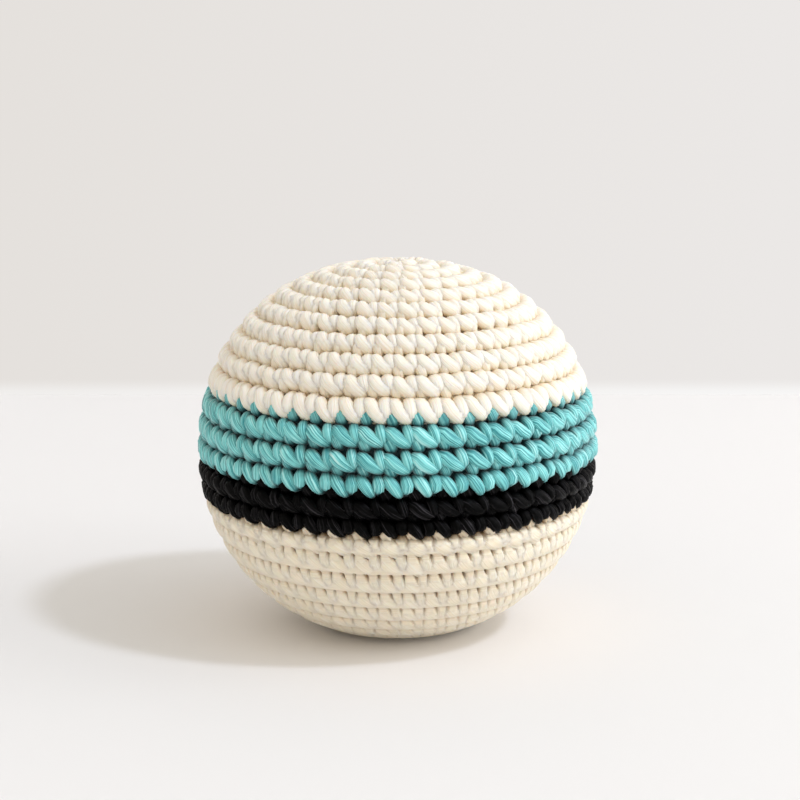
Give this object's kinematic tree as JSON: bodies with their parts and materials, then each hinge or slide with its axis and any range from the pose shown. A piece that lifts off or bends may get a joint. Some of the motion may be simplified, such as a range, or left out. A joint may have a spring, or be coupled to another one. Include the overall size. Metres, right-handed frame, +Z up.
{
  "type": "footbag",
  "caption": "Round crocheted footbag with striped cotton stitches, a sewn cloth liner and a loose dried-seed filling that tumbles inside.",
  "frame": {"origin": "centre of the flat that the ball stands on", "axes": "+Z up through the crown's centre, which is the axis of every round of stitches; -Y towards the picture's viewer"},
  "size_m": [0.06, 0.06, 0.0554],
  "materials": {
    "cream_yarn": "matte",
    "aqua_yarn": "matte",
    "black_yarn": "matte",
    "liner_cloth": "matte",
    "sewing_thread": "matte",
    "chickpea": "satin"
  },
  "bodies": {
    "bag": {"crown_cream_rounds": "cream_yarn", "band_aqua_rounds": "aqua_yarn", "band_black_rounds": "black_yarn", "base_cream_rounds": "cream_yarn", "liner_upper_cup": "liner_cloth", "liner_lower_cup": "liner_cloth", "liner_seam_thread": "sewing_thread"},
    "filling": {"chickpea_01": "chickpea", "chickpea_02": "chickpea", "chickpea_03": "chickpea", "chickpea_04": "chickpea", "chickpea_05": "chickpea", "chickpea_06": "chickpea", "chickpea_07": "chickpea", "chickpea_08": "chickpea", "chickpea_09": "chickpea", "chickpea_10": "chickpea", "chickpea_11": "chickpea", "chickpea_12": "chickpea", "chickpea_13": "chickpea", "chickpea_14": "chickpea", "chickpea_15": "chickpea", "chickpea_16": "chickpea", "chickpea_17": "chickpea", "chickpea_18": "chickpea", "chickpea_19": "chickpea", "chickpea_20": "chickpea", "chickpea_21": "chickpea", "chickpea_22": "chickpea", "chickpea_23": "chickpea", "chickpea_24": "chickpea", "chickpea_25": "chickpea", "chickpea_26": "chickpea", "chickpea_27": "chickpea", "chickpea_28": "chickpea", "chickpea_29": "chickpea", "chickpea_30": "chickpea", "chickpea_31": "chickpea", "chickpea_32": "chickpea", "chickpea_33": "chickpea", "chickpea_34": "chickpea", "chickpea_35": "chickpea", "chickpea_36": "chickpea", "chickpea_37": "chickpea", "chickpea_38": "chickpea", "chickpea_39": "chickpea", "chickpea_40": "chickpea", "chickpea_41": "chickpea", "chickpea_42": "chickpea", "chickpea_43": "chickpea", "chickpea_44": "chickpea"}
  },
  "joints": [
    {"name": "filling_tumble", "type": "hinge", "parent": "bag", "child": "filling", "pos_m": [0, 0, 0.0274], "axis": [0, 1, 0], "continuous": true}
  ]
}
